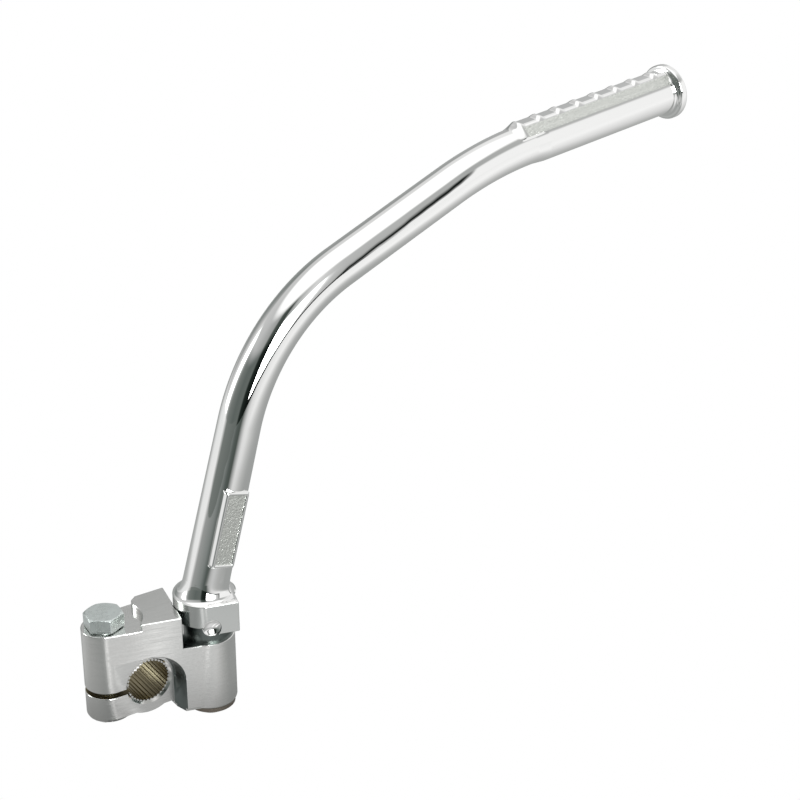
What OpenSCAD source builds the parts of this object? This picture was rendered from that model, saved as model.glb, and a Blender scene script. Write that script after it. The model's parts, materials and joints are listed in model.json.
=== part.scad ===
// Folding kick start lever, millimetres.
// The splined bore's axis is the Y axis, with the engine on the +Y side.
// The fold pivot stands along Z, to the right of the bore and nearer the rider,
// so the boss's front face is skewed against the bore.
// The lever is drawn folded away, as it is carried while riding.

/* [Splined bore] */
// Diameter over the tooth crests, which is what grips the kick shaft
spline_crest_d = 15.8; // [14:0.1:16]
// Depth of the grooves between the teeth
spline_tooth_h = 0.5; // [0.3:0.05:0.6]
// Number of teeth round the bore
spline_teeth = 36; // [24:1:40]
// Share of each tooth pitch that is the flat crest
spline_crest_share = 0.45; // [0.4:0.01:0.6]
// Chamfer at each end of the bore
bore_chamfer = 0.8; // [0.3:0.1:1]
// Outer radius of the hub round the bore
hub_r = 12.9; // [12:0.1:14]
// How far the hub stands out of the boss's back face, towards the engine
hub_back = 3.2; // [0:0.1:6]
// Radius of the recess at the hub's face
recess_floor_r = 10.9; // [10:0.1:12]
// Radius of the recess where it opens on the front face
recess_mouth_r = 12.7; // [12:0.1:14]
// How far the recess lies to the left of the bore axis
recess_shift = 1.1; // [0:0.1:2]

/* [Boss] */
// Thickness of the boss along the bore, which is also the lug's round nose
boss_t = 17; // [16:0.1:18]
// Height of the lug's top face over the bore axis
lug_top = 23.4; // [21:0.1:25]
// Depth of the lug's lower end under the bore axis
lug_low = 12.6; // [12:0.1:14]
// Chamfer on the lower edges of the lug and the barrel
edge_cut = 1; // [0.5:0.1:2]
// Bore axis to the pinch bolt's axis
bolt_x = 12.3; // [12.2:0.1:14]
// Depth of the clamp slit under the bore axis
slit_low = 1.4; // [0:0.1:2]
// Width of the clamp slit
slit_w = 2; // [1:0.1:2.5]

/* [Stop block] */
// Top face of the stop block over the lug's top face
block_rise = 2.7; // [1:0.1:5]
// Length of the block's front edge
block_w = 14.8; // [13:0.1:16]
// Chamfer at the back left of the block
block_chamfer = 2; // [1:0.1:4]
// Radius of the scallop that lets a socket turn on the bolt head
scallop_r = 13.7; // [12.5:0.1:15]
// Slant of the stop face against a square one, in degrees
stop_slant = 4; // [0:0.5:8]

/* [Pivot] */
// Pivot axis to the right of the bore axis
pivot_x = 24.9; // [24.5:0.1:28]
// Pivot axis in front of the boss's middle
pivot_fore = 8.8; // [7:0.1:10]
// Outer radius of the barrel
barrel_r = 9.7; // [8.8:0.1:9.9]
// Height of the ledge round the barrel's neck
ledge_z = 13.2; // [12:0.1:16]
// Height of the neck's top, where the thrust washer lies
neck_top = 20.5; // [18:0.1:22]
// Radius of the neck
neck_r = 9; // [8:0.1:9.3]
// Depth of the barrel's lower end under the bore axis
barrel_low = 15; // [13:0.1:17]
// Depth of the web's underside between hub and barrel
web_low = 11.6; // [9:0.1:12]
// Bore axis to the left side of the barrel's skirt
skirt_x = 9.4; // [9.3:0.1:11]
// Step between the skirt and the rim under it
rim_step = 0.7; // [0.3:0.1:1]
// Height of the rim under the skirt
rim_h = 1.2; // [0.8:0.1:2]
// Diameter of the pivot pin
pin_d = 12; // [10:0.1:13]
// Radial running clearance of the pin
pin_clear = 0.05; // [0.02:0.01:0.1]

/* [Collar] */
// Radius of the lever's collar
collar_r = 12.4; // [11.5:0.1:13]
// Height of the collar's round part
collar_h = 9; // [7:0.1:11]
// Height of the square stop tab, which hangs lower than the collar
tab_h = 12; // [10.5:0.1:13]
// Pivot axis to the tab's front flat
tab_front = 12.1; // [11.5:0.1:12.2]
// Pivot axis to the tab's right flat
tab_side = 9; // [8.5:0.1:11]
// Clearance between the collar, the stop face and the washers
fit_gap = 0.1; // [0.05:0.05:0.3]
// Detent pocket to the left of the pivot axis, seen on the tab's flat
pocket_off = 1.2; // [0:0.1:2]
// Diameter of the detent pocket in the tab
pocket_d = 6.6; // [4:0.1:6.8]
// Depth of the detent pocket
pocket_depth = 2.3; // [1:0.1:2.5]

/* [Lever arm] */
// Direction of the folded lever against the front face, in degrees towards the engine
arm_azimuth = 20.4; // [10:0.1:30]
// Lean of the lower arm from the pivot axis, in degrees
arm_lean = 16.5; // [10:0.5:22]
// Slope of the upper arm over level, in degrees
upper_slope = 20.5; // [12:0.5:30]
// Slope of the pedal over level, in degrees
pedal_slope = 5.5; // [0:0.5:10]
// Pivot crossing to the first bend's corner
lower_len = 97.5; // [80:0.5:120]
// First bend's corner to the second bend's corner
upper_len = 112.5; // [90:0.5:130]
// Second bend's corner to the pedal's end
pedal_len = 98; // [80:0.5:110]
// Height at which the arm's axis crosses the pivot axis
arm_foot = 34; // [32:0.5:38]
// Radius of the bar at its foot
foot_r = 8.5; // [7.5:0.1:9]
// Radius of the bar from the first bend on
bar_r = 7.9; // [7:0.1:8.4]
// Axis radius of the first bend
bend_1_r = 75; // [50:1:90]
// Axis radius of the second bend
bend_2_r = 150; // [80:5:170]

/* [Badge pad] */
// Length of the bare raised pad on the lower arm
pad_len = 29; // [20:0.5:35]
// Width of the pad
pad_w = 11.4; // [8:0.1:12]
// Bar axis to the pad's face
pad_face = 9; // [8.8:0.1:10]
// Depth of the sunk field inside the pad's border
pad_sink = 0.5; // [0.3:0.1:1]
// Width of the pad's border
pad_border = 1.1; // [0.8:0.1:2]

/* [Pedal] */
// Radius of the pedal's round underside
pedal_r = 8.4; // [7.9:0.1:9]
// Width of the tread along the top
tread_w = 5.4; // [4:0.1:7]
// Bar axis to the tread
tread_top = 9.2; // [8.8:0.1:9.8]
// Slope of the flanks between the tread and the round underside, in degrees
flank_slope = 45.8; // [40:0.1:50]
// Number of tread ribs
rib_count = 8; // [4:1:9]
// Distance from rib to rib
rib_pitch = 10.3; // [8:0.1:10.4]
// Height of a rib over the rail
rib_h = 1; // [0.5:0.1:2]
// Radius of the end flange
flange_r = 11; // [9.5:0.1:12]
// Thickness of the end flange
flange_t = 3.4; // [2:0.1:5]

/* [Pinch bolt] */
// Thread diameter
bolt_d = 8; // [7:1:8]
// Diameter of the reduced shank that passes the bore
shank_d = 7; // [6:0.1:7]
// Width across the head's flats
bolt_flats = 13; // [10:0.5:14]
// Turn of the tightened head, in degrees
bolt_turn = 24; // [0:1:59]
// Height of the head
bolt_head_h = 5.3; // [4:0.1:6]
// Diameter of the washer face under the head
bolt_face_d = 11.6; // [9:0.1:12]
// Height of that washer face
bolt_face_h = 0.4; // [0.2:0.1:0.6]

/* [Detent] */
// Diameter of the detent ball
ball_d = 5; // [4:0.5:6]
// Height of the ball over the bore axis
ball_z = 20.9; // [20.5:0.1:21.4]
// Wire diameter of the detent spring
wire_d = 0.8; // [0.5:0.1:1]
// Length of the spring as fitted
spring_len = 5.4; // [4:0.1:5.5]
// Coils of the spring
spring_coils = 5; // [3:1:5]

/* [Hidden] */
$fn = 56;

// Facets of small round things, and of the spring's wire
small_fn = 20;
wire_fn = 13;
// Small overlap that makes a cut pass right through
past = 1;
// Slack of an easy fit, and the hairline between pieces that all but touch
slack = 0.1;
hair = 0.05;

crest_r = spline_crest_d / 2;
root_r = crest_r + spline_tooth_h;
root_share = 0.35;
lug_r = boss_t / 2;
slit_top = -slit_low + slit_w / 2;
block_top = lug_top + block_rise;
shank_hole_r = shank_d / 2 + slack;
bolt_inset = 0.8;
thread_relief = 0.5;
head_chamfer = 30;
head_top_r = bolt_flats / 2 - 2 * slack;

// The front face is the line that touches both the lug's nose and the barrel
centre_run = norm([pivot_x + bolt_x, pivot_fore]);
face_skew = atan(pivot_fore / (pivot_x + bolt_x)) + asin((barrel_r - lug_r) / centre_run);
face_out = [-sin(face_skew), -cos(face_skew)];
face_along = [cos(face_skew), -sin(face_skew)];
nose = [-bolt_x, 0];
pivot = [pivot_x, -pivot_fore];
face_left = nose + lug_r * face_out;
face_right = pivot + barrel_r * face_out;

// Distance over which the recess opens from its floor radius to its mouth radius
recess_run = 7;

washer_t = 0.5;
collar_low = neck_top + washer_t + fit_gap;
collar_top = collar_low + collar_h;
pin_r = pin_d / 2;
stop_dist = tab_front + fit_gap;
fold_range = 90 - stop_slant;

// The stop face runs at stop_dist from the pivot, from the front face to the back
stop_turn = face_skew - stop_slant;
stop_front = face_right - face_along * (stop_dist / cos(stop_slant) - barrel_r * tan(stop_slant));
stop_back = stop_front + [tan(stop_turn), 1] * (boss_t / 2 - stop_front.y);
block_front_left = stop_front - face_along * block_w;
block_back_left = block_front_left + [tan(face_skew), 1] * (boss_t / 2 - block_front_left.y);

// Where the back of the boss leaves the barrel, as a tangent from the stop face's end
back_reach = stop_back - pivot;
back_tangent = atan2(back_reach.y, back_reach.x) - acos(barrel_r / norm(back_reach));
barrel_back = pivot + barrel_r * [cos(back_tangent), sin(back_tangent)];

circlip_t = 1.2;
retainer_t = 1.6;
retainer_r = 8.9;
groove_depth = 0.8;
groove_r = pin_r - groove_depth;
circlip_r = pin_r + 0.9;
circlip_gap = 3;
retainer_top = -barrel_low - fit_gap;
groove_top = retainer_top - retainer_t;
pin_low = groove_top - circlip_t - past;

// The bar's axis in the lever's own plane: across, up
lower_dir = 90 - arm_lean;
bend_1 = lower_dir - upper_slope;
bend_2 = upper_slope - pedal_slope;
corner_1 = [lower_len * cos(lower_dir), arm_foot + lower_len * sin(lower_dir)];
corner_2 = corner_1 + upper_len * [cos(upper_slope), sin(upper_slope)];
tangent_1 = bend_1_r * tan(bend_1 / 2);
tangent_2 = bend_2_r * tan(bend_2 / 2);
foot_drop = 4;
flare_h = 2.5;
flare_out = 2;

// A bend is a hair thicker than the bar, and the bar runs a little way into it
bend_fullness = hair;
bend_lap = 0.3;
lower_run = lower_len - tangent_1 + foot_drop;
upper_run = upper_len - tangent_1 - tangent_2;
pedal_run = pedal_len - tangent_2;
pad_start = foot_drop + 8.5;
pedal_swell = 6;
tread_lead = 6;

// A flank ends where it comes nearest to the bar's axis, just inside the round underside
flank_out = min(tread_top * cos(flank_slope) + tread_w / 2 * sin(flank_slope), pedal_r - bend_fullness);
flank_foot = flank_out * [sin(flank_slope), cos(flank_slope)];
first_rib = -4;
flange_edge = 0.8;

// Where a ball of the detent sits, as a distance from the pivot axis
ball_r = ball_d / 2;
detent_bore_r = ball_r + slack;
ball_sink = 0.35;
ball_out = stop_dist + ball_sink + ball_r;
spring_from = ball_out + ball_r + hair;
detent_end = spring_from + spring_len + slack;

module at_pivot() {
    translate([pivot.x, pivot.y, 0])
        children();
}

// The collar's own frame at rest: its -Y side is flush with the boss's front face
module at_collar() {
    at_pivot()
        rotate([0, 0, -face_skew])
            children();
}

// Z points out of the tab through the middle of the detent pocket
module at_pocket() {
    translate([-pocket_off, 0, ball_z])
        rotate([90, 0, 0])
            children();
}

// The detent in the block waits where the pocket arrives when the lever is folded out
module along_detent() {
    at_pivot()
        rotate([0, 0, -face_skew - fold_range])
            at_pocket()
                children();
}

module slab(low, high, outline) {
    translate([0, 0, low])
        linear_extrude(high - low)
            polygon(outline);
}

// A post with a chamfered lower edge
module post(r, low, high) {
    translate([0, 0, low + edge_cut])
        cylinder(h = high - low - edge_cut, r = r);
    translate([0, 0, low])
        cylinder(h = edge_cut, r1 = r - edge_cut * 0.6, r2 = r);
}

// Outline of the skirt on the left of the barrel, drawn in from the front face by a step
function skirt(step) = let (
    front = face_right - step * face_out,
    front_left = front + face_along * ((skirt_x + step - front.x) / face_along.x)
) [front_left, front, pivot, barrel_back, [skirt_x + step, barrel_back.y]];

// The body between lug and barrel, with the raised stop block on it
module body() {
    back_left = [-bolt_x, boss_t / 2];
    slab(-web_low, ledge_z, [nose, face_left, face_right, pivot, barrel_back, stop_back, back_left]);
    slab(-barrel_low + edge_cut + rim_h, -web_low, skirt(0));
    slab(-barrel_low + edge_cut, -barrel_low + edge_cut + rim_h, skirt(rim_step));
    slab(ledge_z, lug_top, [nose, face_left, stop_front, stop_back, back_left]);
    slab(lug_top, block_top, [
        block_front_left,
        stop_front,
        stop_back,
        block_back_left + [block_chamfer, 0],
        block_back_left - block_chamfer * [tan(face_skew), 1]
    ]);
}

// The recess bares the hub's square face: a cone, carried on to the left and straight down
module recess() {
    depth = lug_r - face_right.y;
    mouth = boss_t + barrel_r;
    floor_y = -boss_t / 2;
    slope = (recess_mouth_r - recess_floor_r) / recess_run;
    right = recess_floor_r - recess_shift;
    translate([-recess_shift, floor_y, 0])
        rotate([90, 0, 0])
            cylinder(h = mouth, r1 = recess_floor_r, r2 = recess_floor_r + slope * mouth);
    slab(-depth, 0, [
        [face_left.x, floor_y],
        [right, floor_y],
        [right + slope * mouth, floor_y - mouth],
        [face_left.x, floor_y - mouth]
    ]);
    translate([face_left.x, 0, 0])
        rotate([90, 0, 90])
            linear_extrude(-recess_shift - face_left.x)
                polygon([
                    [floor_y, -depth],
                    [floor_y, recess_floor_r],
                    [floor_y - mouth, recess_floor_r + slope * mouth],
                    [floor_y - mouth, -depth]
                ]);
}

module hub() {
    rotate([90, 0, 0])
        translate([0, 0, -boss_t / 2 - hub_back])
            cylinder(h = boss_t + hub_back, r = hub_r);
    slab(-lug_low + edge_cut, 0, [
        [-bolt_x, -boss_t / 2],
        [0, -boss_t / 2],
        [0, boss_t / 2],
        [-bolt_x, boss_t / 2]
    ]);
}

// The bore, with a groove between each pair of teeth
module splined_bore() {
    pitch = 360 / spline_teeth;
    half_groove = crest_r * sin(pitch * (1 - spline_crest_share) / 2);
    half_root = half_groove * root_share;
    run = boss_t + hub_back + 2 * past;
    rotate([90, 0, 0])
        translate([0, 0, -boss_t / 2 - hub_back - past]) {
            cylinder(h = run, r = crest_r);
            for (i = [0 : spline_teeth - 1])
                rotate([0, 0, i * pitch])
                    linear_extrude(run)
                        polygon([
                            [crest_r - past / 2, -half_groove],
                            [crest_r - past / 2, half_groove],
                            [crest_r * cos(pitch / 4), half_groove],
                            [root_r, half_root],
                            [root_r, -half_root],
                            [crest_r * cos(pitch / 4), -half_groove]
                        ]);
        }
    for (end = [[90, boss_t / 2], [-90, boss_t / 2 + hub_back]])
        rotate([end[0], 0, 0])
            translate([0, 0, end[1] - bore_chamfer])
                cylinder(h = bore_chamfer + past, r1 = root_r, r2 = root_r + bore_chamfer + past);
}

module bolt_hole() {
    translate([nose.x, nose.y, slit_top - slit_w])
        cylinder(h = lug_top - slit_top + slit_w + past, r = shank_hole_r);
    translate([nose.x, nose.y, -lug_low - past])
        cylinder(h = lug_low + slit_top - slit_w / 2 + past, d = bolt_d + slack);
}

module boss() {
    color("silver")
        difference() {
            union() {
                difference() {
                    body();
                    recess();
                }
                translate([nose.x, nose.y, 0])
                    post(lug_r, -lug_low, lug_top);
                hub();
                at_pivot()
                    post(barrel_r, -barrel_low, ledge_z);
                at_pivot()
                    translate([0, 0, ledge_z - past])
                        cylinder(h = neck_top - ledge_z + past, r = neck_r);
            }
            splined_bore();
            translate([-bolt_x - lug_r - past, -boss_t, slit_top - slit_w])
                cube([bolt_x + lug_r + past, 2 * boss_t, slit_w]);
            bolt_hole();
            translate([nose.x, nose.y, lug_top])
                cylinder(h = block_rise + past, r = scallop_r);
            at_pivot()
                translate([0, 0, -barrel_low - past])
                    cylinder(h = neck_top + barrel_low + 2 * past, r = pin_r + pin_clear);
            at_pivot()
                translate([0, 0, neck_top])
                    cylinder(h = block_top - neck_top + past, r = collar_r + 2 * fit_gap);
            along_detent()
                translate([0, 0, stop_dist - past])
                    cylinder(h = detent_end - stop_dist + past, r = detent_bore_r);
        }
}

// One straight length of bar, from a point in the lever's plane
module straight(from, slope, run, r1, r2) {
    translate([from.x, 0, from.y])
        rotate([0, 90 - slope, 0])
            cylinder(h = run + bend_lap, r1 = r1, r2 = r2);
}

// One bend of the bar, turning down from one slope to the next
module bend(from, slope, turn, bend_r) {
    centre = from + bend_r * [sin(slope), -cos(slope)];
    translate([centre.x, 0, centre.y])
        rotate([90, 0, 0])
            rotate([0, 0, 90 + slope - turn])
                rotate_extrude(angle = turn)
                    translate([bend_r, 0])
                        circle(r = bar_r + bend_fullness);
}

module bar() {
    foot = [0, arm_foot] - foot_drop * [cos(lower_dir), sin(lower_dir)];
    bend_1_from = corner_1 - tangent_1 * [cos(lower_dir), sin(lower_dir)];
    upper_from = corner_1 + tangent_1 * [cos(upper_slope), sin(upper_slope)];
    bend_2_from = corner_2 - tangent_2 * [cos(upper_slope), sin(upper_slope)];
    straight(foot, lower_dir, lower_run, foot_r, bar_r);
    bend(bend_1_from, lower_dir, bend_1, bend_1_r);
    straight(upper_from, upper_slope, upper_run, bar_r, bar_r);
    bend(bend_2_from, upper_slope, bend_2, bend_2_r);
}

// Puts children at the pedal's start, with Z along the pedal and X down
module at_pedal() {
    start = corner_2 + tangent_2 * [cos(pedal_slope), sin(pedal_slope)];
    translate([start.x, 0, start.y])
        rotate([0, 90 - pedal_slope, 0])
            children();
}

module pedal() {
    at_pedal() {
        cylinder(h = pedal_swell, r1 = bar_r, r2 = pedal_r);
        translate([0, 0, pedal_swell])
            cylinder(h = pedal_run - pedal_swell, r = pedal_r);
        translate([0, 0, -tread_lead])
            linear_extrude(pedal_run + tread_lead)
                polygon([
                    [-tread_top, -tread_w / 2],
                    [-tread_top, tread_w / 2],
                    [-flank_foot.y, flank_foot.x],
                    [0, flank_foot.x],
                    [0, -flank_foot.x],
                    [-flank_foot.y, -flank_foot.x]
                ]);
        for (i = [0 : rib_count - 1])
            translate([-tread_top, -tread_w / 2, i * rib_pitch + first_rib])
                rotate([-90, 0, 0])
                    cylinder(h = tread_w, r = rib_h, $fn = small_fn);
        translate([0, 0, pedal_run - flange_t])
            cylinder(h = flange_t - flange_edge, r = flange_r);
        translate([0, 0, pedal_run - flange_edge])
            cylinder(h = flange_edge, r1 = flange_r, r2 = flange_r - flange_edge);
    }
}

// The bare pad on the side of the lower arm that faces the rider
module badge_pad() {
    foot = [0, arm_foot] - foot_drop * [cos(lower_dir), sin(lower_dir)];
    translate([foot.x, 0, foot.y])
        rotate([0, arm_lean, 0])
            translate([0, 0, pad_start])
                difference() {
                    translate([-pad_w / 2, -pad_face, 0])
                        cube([pad_w, pad_face, pad_len]);
                    translate([-pad_w / 2 + pad_border, -pad_face - past, pad_border])
                        cube([pad_w - 2 * pad_border, pad_sink + past, pad_len - 2 * pad_border]);
                }
}

module collar() {
    flat_left = sqrt(collar_r * collar_r - tab_front * tab_front);
    difference() {
        union() {
            translate([0, 0, collar_low])
                cylinder(h = collar_h, r = collar_r);
            translate([-flat_left, -tab_front - past, collar_top - tab_h])
                cube([flat_left + tab_side + past, tab_front + past, tab_h]);
        }
        translate([-2 * collar_r, -tab_front - collar_r, collar_top - tab_h - past])
            cube([4 * collar_r, collar_r, tab_h + 2 * past]);
        translate([tab_side, -2 * collar_r, collar_top - tab_h - past])
            cube([collar_r, 4 * collar_r, tab_h + 2 * past]);
        translate([0, 0, collar_low - tab_h])
            cylinder(h = tab_h, r = barrel_r + 2 * fit_gap);
        at_pocket()
            translate([0, 0, tab_front - pocket_depth])
                cylinder(h = pocket_depth + past, d = pocket_d);
    }
    translate([0, 0, collar_top])
        cylinder(h = flare_h, r1 = foot_r + flare_out, r2 = foot_r - flare_h * tan(arm_lean) / 2);
}

module pivot_pin() {
    difference() {
        translate([0, 0, pin_low])
            cylinder(h = collar_low - pin_low + past, r = pin_r);
        translate([0, 0, groove_top - circlip_t - fit_gap / 2])
            difference() {
                cylinder(h = circlip_t + fit_gap, r = pin_r + past);
                cylinder(h = circlip_t + fit_gap, r = groove_r);
            }
    }
}

module arm() {
    color("gainsboro")
        at_collar() {
            collar();
            pivot_pin();
            rotate([0, 0, arm_azimuth]) {
                bar();
                pedal();
                badge_pad();
            }
        }
}

module pinch_bolt() {
    corner_r = bolt_flats / sqrt(3);
    thread_top = slit_top - slit_w;
    bolt_end = -lug_low + bolt_inset;
    color("lightsteelblue")
        translate([nose.x, nose.y, 0]) {
            translate([0, 0, bolt_end])
                cylinder(h = thread_top - thread_relief - bolt_end, d = bolt_d);
            translate([0, 0, bolt_end])
                cylinder(h = lug_top - bolt_end, d = shank_d);
            translate([0, 0, lug_top])
                cylinder(h = bolt_face_h, d = bolt_face_d);
            translate([0, 0, lug_top + bolt_face_h])
                intersection() {
                    rotate([0, 0, bolt_turn])
                        cylinder(h = bolt_head_h, r = corner_r, $fn = 6);
                    cylinder(h = bolt_head_h, r1 = corner_r + bolt_head_h / tan(head_chamfer), r2 = head_top_r);
                }
        }
}

module washer(low, t, hole_r, outer_r) {
    at_pivot()
        translate([0, 0, low])
            difference() {
                cylinder(h = t, r = outer_r);
                translate([0, 0, -past])
                    cylinder(h = t + 2 * past, r = hole_r);
            }
}

module thrust_washer() {
    color("dimgray")
        washer(neck_top, washer_t, pin_r + 2 * slack, barrel_r);
}

module retaining_washer() {
    color("rosybrown")
        washer(groove_top, retainer_t, pin_r + pin_clear, retainer_r);
}

// An open ring that snaps into the pin's groove
module circlip() {
    color("slategray")
        at_pivot()
            translate([0, 0, groove_top - circlip_t])
                difference() {
                    cylinder(h = circlip_t, r = circlip_r);
                    translate([0, 0, -past])
                        cylinder(h = circlip_t + 2 * past, r = groove_r + hair);
                    translate([-circlip_gap / 2, 0, -past])
                        cube([circlip_gap, circlip_r + past, circlip_t + 2 * past]);
                }
}

module detent_ball() {
    color("gray")
        along_detent()
            translate([0, 0, ball_out])
                sphere(r = ball_r, $fn = small_fn);
}

// The spring is drawn as its closed coils, one ring for each
module detent_spring() {
    coil_r = ball_r - wire_d / 2 - slack;
    gap = (spring_len - wire_d) / (spring_coils - 1);
    color("darkgray")
        along_detent()
            for (i = [0 : spring_coils - 1])
                translate([0, 0, spring_from + wire_d / 2 + i * gap])
                    rotate_extrude($fn = small_fn)
                        translate([coil_r, 0])
                            circle(d = wire_d, $fn = wire_fn);
}

boss();
arm();
pinch_bolt();
thrust_washer();
retaining_washer();
circlip();
detent_ball();
detent_spring();
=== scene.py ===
# %% [markdown]
# # A folding kick start lever
# A chrome-plated forged arm folds on the side of a satin steel boss, which a pinch bolt clamps on a
# splined shaft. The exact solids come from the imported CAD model, and this script gives them their looks.
# Everything is measured in millimetres here and turned to metres where a mesh is made.

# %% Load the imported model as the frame
import json

import bmesh
import bpy
import numpy as np
from mathutils import Matrix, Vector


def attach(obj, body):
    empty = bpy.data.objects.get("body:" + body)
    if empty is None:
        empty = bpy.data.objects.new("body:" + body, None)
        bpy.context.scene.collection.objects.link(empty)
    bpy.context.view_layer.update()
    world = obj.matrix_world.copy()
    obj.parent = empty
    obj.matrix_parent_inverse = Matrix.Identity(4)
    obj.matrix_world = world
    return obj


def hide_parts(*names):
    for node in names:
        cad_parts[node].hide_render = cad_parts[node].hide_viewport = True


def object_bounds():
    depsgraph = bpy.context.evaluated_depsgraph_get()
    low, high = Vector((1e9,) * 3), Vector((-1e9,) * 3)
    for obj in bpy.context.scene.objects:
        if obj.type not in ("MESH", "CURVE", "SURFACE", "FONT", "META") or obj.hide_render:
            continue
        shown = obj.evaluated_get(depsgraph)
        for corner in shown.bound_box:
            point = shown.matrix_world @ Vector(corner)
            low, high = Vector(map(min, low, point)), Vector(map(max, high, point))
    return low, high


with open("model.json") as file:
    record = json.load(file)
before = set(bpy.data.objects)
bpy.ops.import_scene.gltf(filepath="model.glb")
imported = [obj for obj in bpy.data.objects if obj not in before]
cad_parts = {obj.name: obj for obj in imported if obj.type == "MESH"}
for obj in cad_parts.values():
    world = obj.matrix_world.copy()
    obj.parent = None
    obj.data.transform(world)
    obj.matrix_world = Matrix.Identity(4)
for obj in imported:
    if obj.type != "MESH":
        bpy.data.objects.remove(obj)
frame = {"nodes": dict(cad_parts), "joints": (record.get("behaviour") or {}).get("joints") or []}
cad_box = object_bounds()
MM = 0.001
nodes = frame["nodes"]
print("nodes in the frame:", sorted(nodes))


# %% [markdown]
# Two helpers serve the whole script. One turns a hex colour, as a paint chart gives it, into the
# linear light that Cycles works in. The other adds a shader node with its settings and links.

# %% Colour and node helpers
def linear(hex_colour):
    """sRGB to linear: each channel c becomes c/12.92 below 0.04045, else ((c + 0.055)/1.055)^2.4."""
    srgb = np.array([int(hex_colour[i:i + 2], 16) for i in (1, 3, 5)]) / 255
    light = np.where(srgb <= 0.04045, srgb / 12.92, ((srgb + 0.055) / 1.055) ** 2.4)
    return (*light.tolist(), 1.0)


def add_node(tree, kind, links=None, sockets=None, **settings):
    """Adds a node, sets its properties and input sockets, and links inputs to other nodes' outputs."""
    node = tree.nodes.new(kind)
    for key, value in settings.items():
        setattr(node, key, value)
    for key, value in (sockets or {}).items():
        node.inputs[key].default_value = value
    for key, output in (links or {}).items():
        tree.links.new(output, node.inputs[key])
    return node


def new_material(name, hex_colour, metallic, roughness):
    """A Principled material under that name, with its colour, metallic and roughness set."""
    material = bpy.data.materials.new(name)
    material.use_nodes = True
    shader = material.node_tree.nodes["Principled BSDF"]
    shader.inputs["Base Color"].default_value = linear(hex_colour)
    shader.inputs["Metallic"].default_value = metallic
    shader.inputs["Roughness"].default_value = roughness
    return material, material.node_tree, shader


# %% [markdown]
# ## Finishes
# Hard chrome over polished steel is a mirror: almost no roughness, a faintly cool white, and long
# shallow waves left by the polishing belt. They bend the reflections a little, which tells the eye
# that the bar was polished by hand.

# %% Polished chrome
POLISH_WAVE = 14.0   # length of the belt's waves, mm
chrome, tree, shader = new_material("polished_chrome", "#FBFBFA", 1.0, 0.025)
place = add_node(tree, "ShaderNodeTexCoord")
wave = add_node(tree, "ShaderNodeTexNoise", {"Vector": place.outputs["Object"]},
                {"Scale": 1 / (POLISH_WAVE * MM), "Detail": 1.0})
bump = add_node(tree, "ShaderNodeBump", {"Height": wave.outputs["Fac"]},
                {"Strength": 0.5, "Distance": 0.14 * MM})
tree.links.new(bump.outputs["Normal"], shader.inputs["Normal"])
print("made", chrome.name)

# %% [markdown]
# Where the belt doesn't reach, the plating follows the rough skin that the forging die left. Its grain
# is well under a millimetre, so the light breaks up into fine sparkle.

# %% Plated forging skin
SKIN_GRAIN = 0.7    # width of a grain, mm
skin, tree, shader = new_material("plated_forging_skin", "#E6E8E3", 1.0, 0.2)
place = add_node(tree, "ShaderNodeTexCoord")
grain = add_node(tree, "ShaderNodeTexNoise", {"Vector": place.outputs["Object"]},
                 {"Scale": 1 / (SKIN_GRAIN * MM), "Detail": 2.0, "Roughness": 0.6})
bump = add_node(tree, "ShaderNodeBump", {"Height": grain.outputs["Fac"]},
                {"Strength": 1.0, "Distance": 0.3 * MM})
tree.links.new(bump.outputs["Normal"], shader.inputs["Normal"])
print("made", skin.name)

# %% [markdown]
# The collar's sides were only ground before they were plated, so their chrome is satin.

# %% Satin chrome
satin_chrome, _, _ = new_material("satin_chrome", "#D6D8D6", 1.0, 0.2)
print("made", satin_chrome.name)

# %% [markdown]
# The boss is satin steel. An abrasive belt ran along it from side to side, so the fine scratches lie
# level and smear each highlight upwards. The scratches are a noise that is stretched along the belt,
# and a coarser one beside it gives the faint streaks that the eye can follow.

# %% Satin steel
BELT_TURN = np.radians(15.1)    # the belt ran along the front face, which is skewed to the bore
SCRATCH_GAP = 0.12              # distance between scratches, mm
SCRATCH_RUN = 20.0              # length of a scratch, mm
STREAK_GAP = 0.35               # distance between the coarser streaks, mm
satin, tree, shader = new_material("satin_steel", "#E9E9E7", 1.0, 0.14)
place = add_node(tree, "ShaderNodeTexCoord")


def belt_noise(gap_across, gap_up, detail):
    """Noise drawn out along the belt's way. A gap is the distance from line to line, mm."""
    scale = (1 / (SCRATCH_RUN * MM), 1 / (gap_across * MM), 1 / (gap_up * MM))
    stretch = add_node(tree, "ShaderNodeMapping", {"Vector": place.outputs["Object"]},
                       {"Rotation": (0, 0, BELT_TURN), "Scale": scale})
    return add_node(tree, "ShaderNodeTexNoise", {"Vector": stretch.outputs["Vector"]},
                    {"Scale": 1.0, "Detail": detail}).outputs["Fac"]


on_walls = add_node(tree, "ShaderNodeBump", {"Height": belt_noise(SCRATCH_RUN, SCRATCH_GAP, 1.0)},
                    {"Strength": 1.0, "Distance": 0.033 * MM})
on_tops = add_node(tree, "ShaderNodeBump", {"Height": belt_noise(SCRATCH_GAP, SCRATCH_RUN, 1.0),
                                            "Normal": on_walls.outputs["Normal"]},
                   {"Strength": 1.0, "Distance": 0.008 * MM})
tree.links.new(on_tops.outputs["Normal"], shader.inputs["Normal"])
streaks = add_node(tree, "ShaderNodeMapRange", {"Value": belt_noise(STREAK_GAP, STREAK_GAP, 2.0)},
                   {"From Min": 0.3, "From Max": 0.7, "To Min": 0.94, "To Max": 1.0})
tone = add_node(tree, "ShaderNodeMixRGB", {"Color2": streaks.outputs["Result"]},
                {"Fac": 1.0, "Color1": linear("#E9E9E7")}, blend_type="MULTIPLY")
tree.links.new(tone.outputs["Color"], shader.inputs["Base Color"])
print("made", satin.name)

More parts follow.
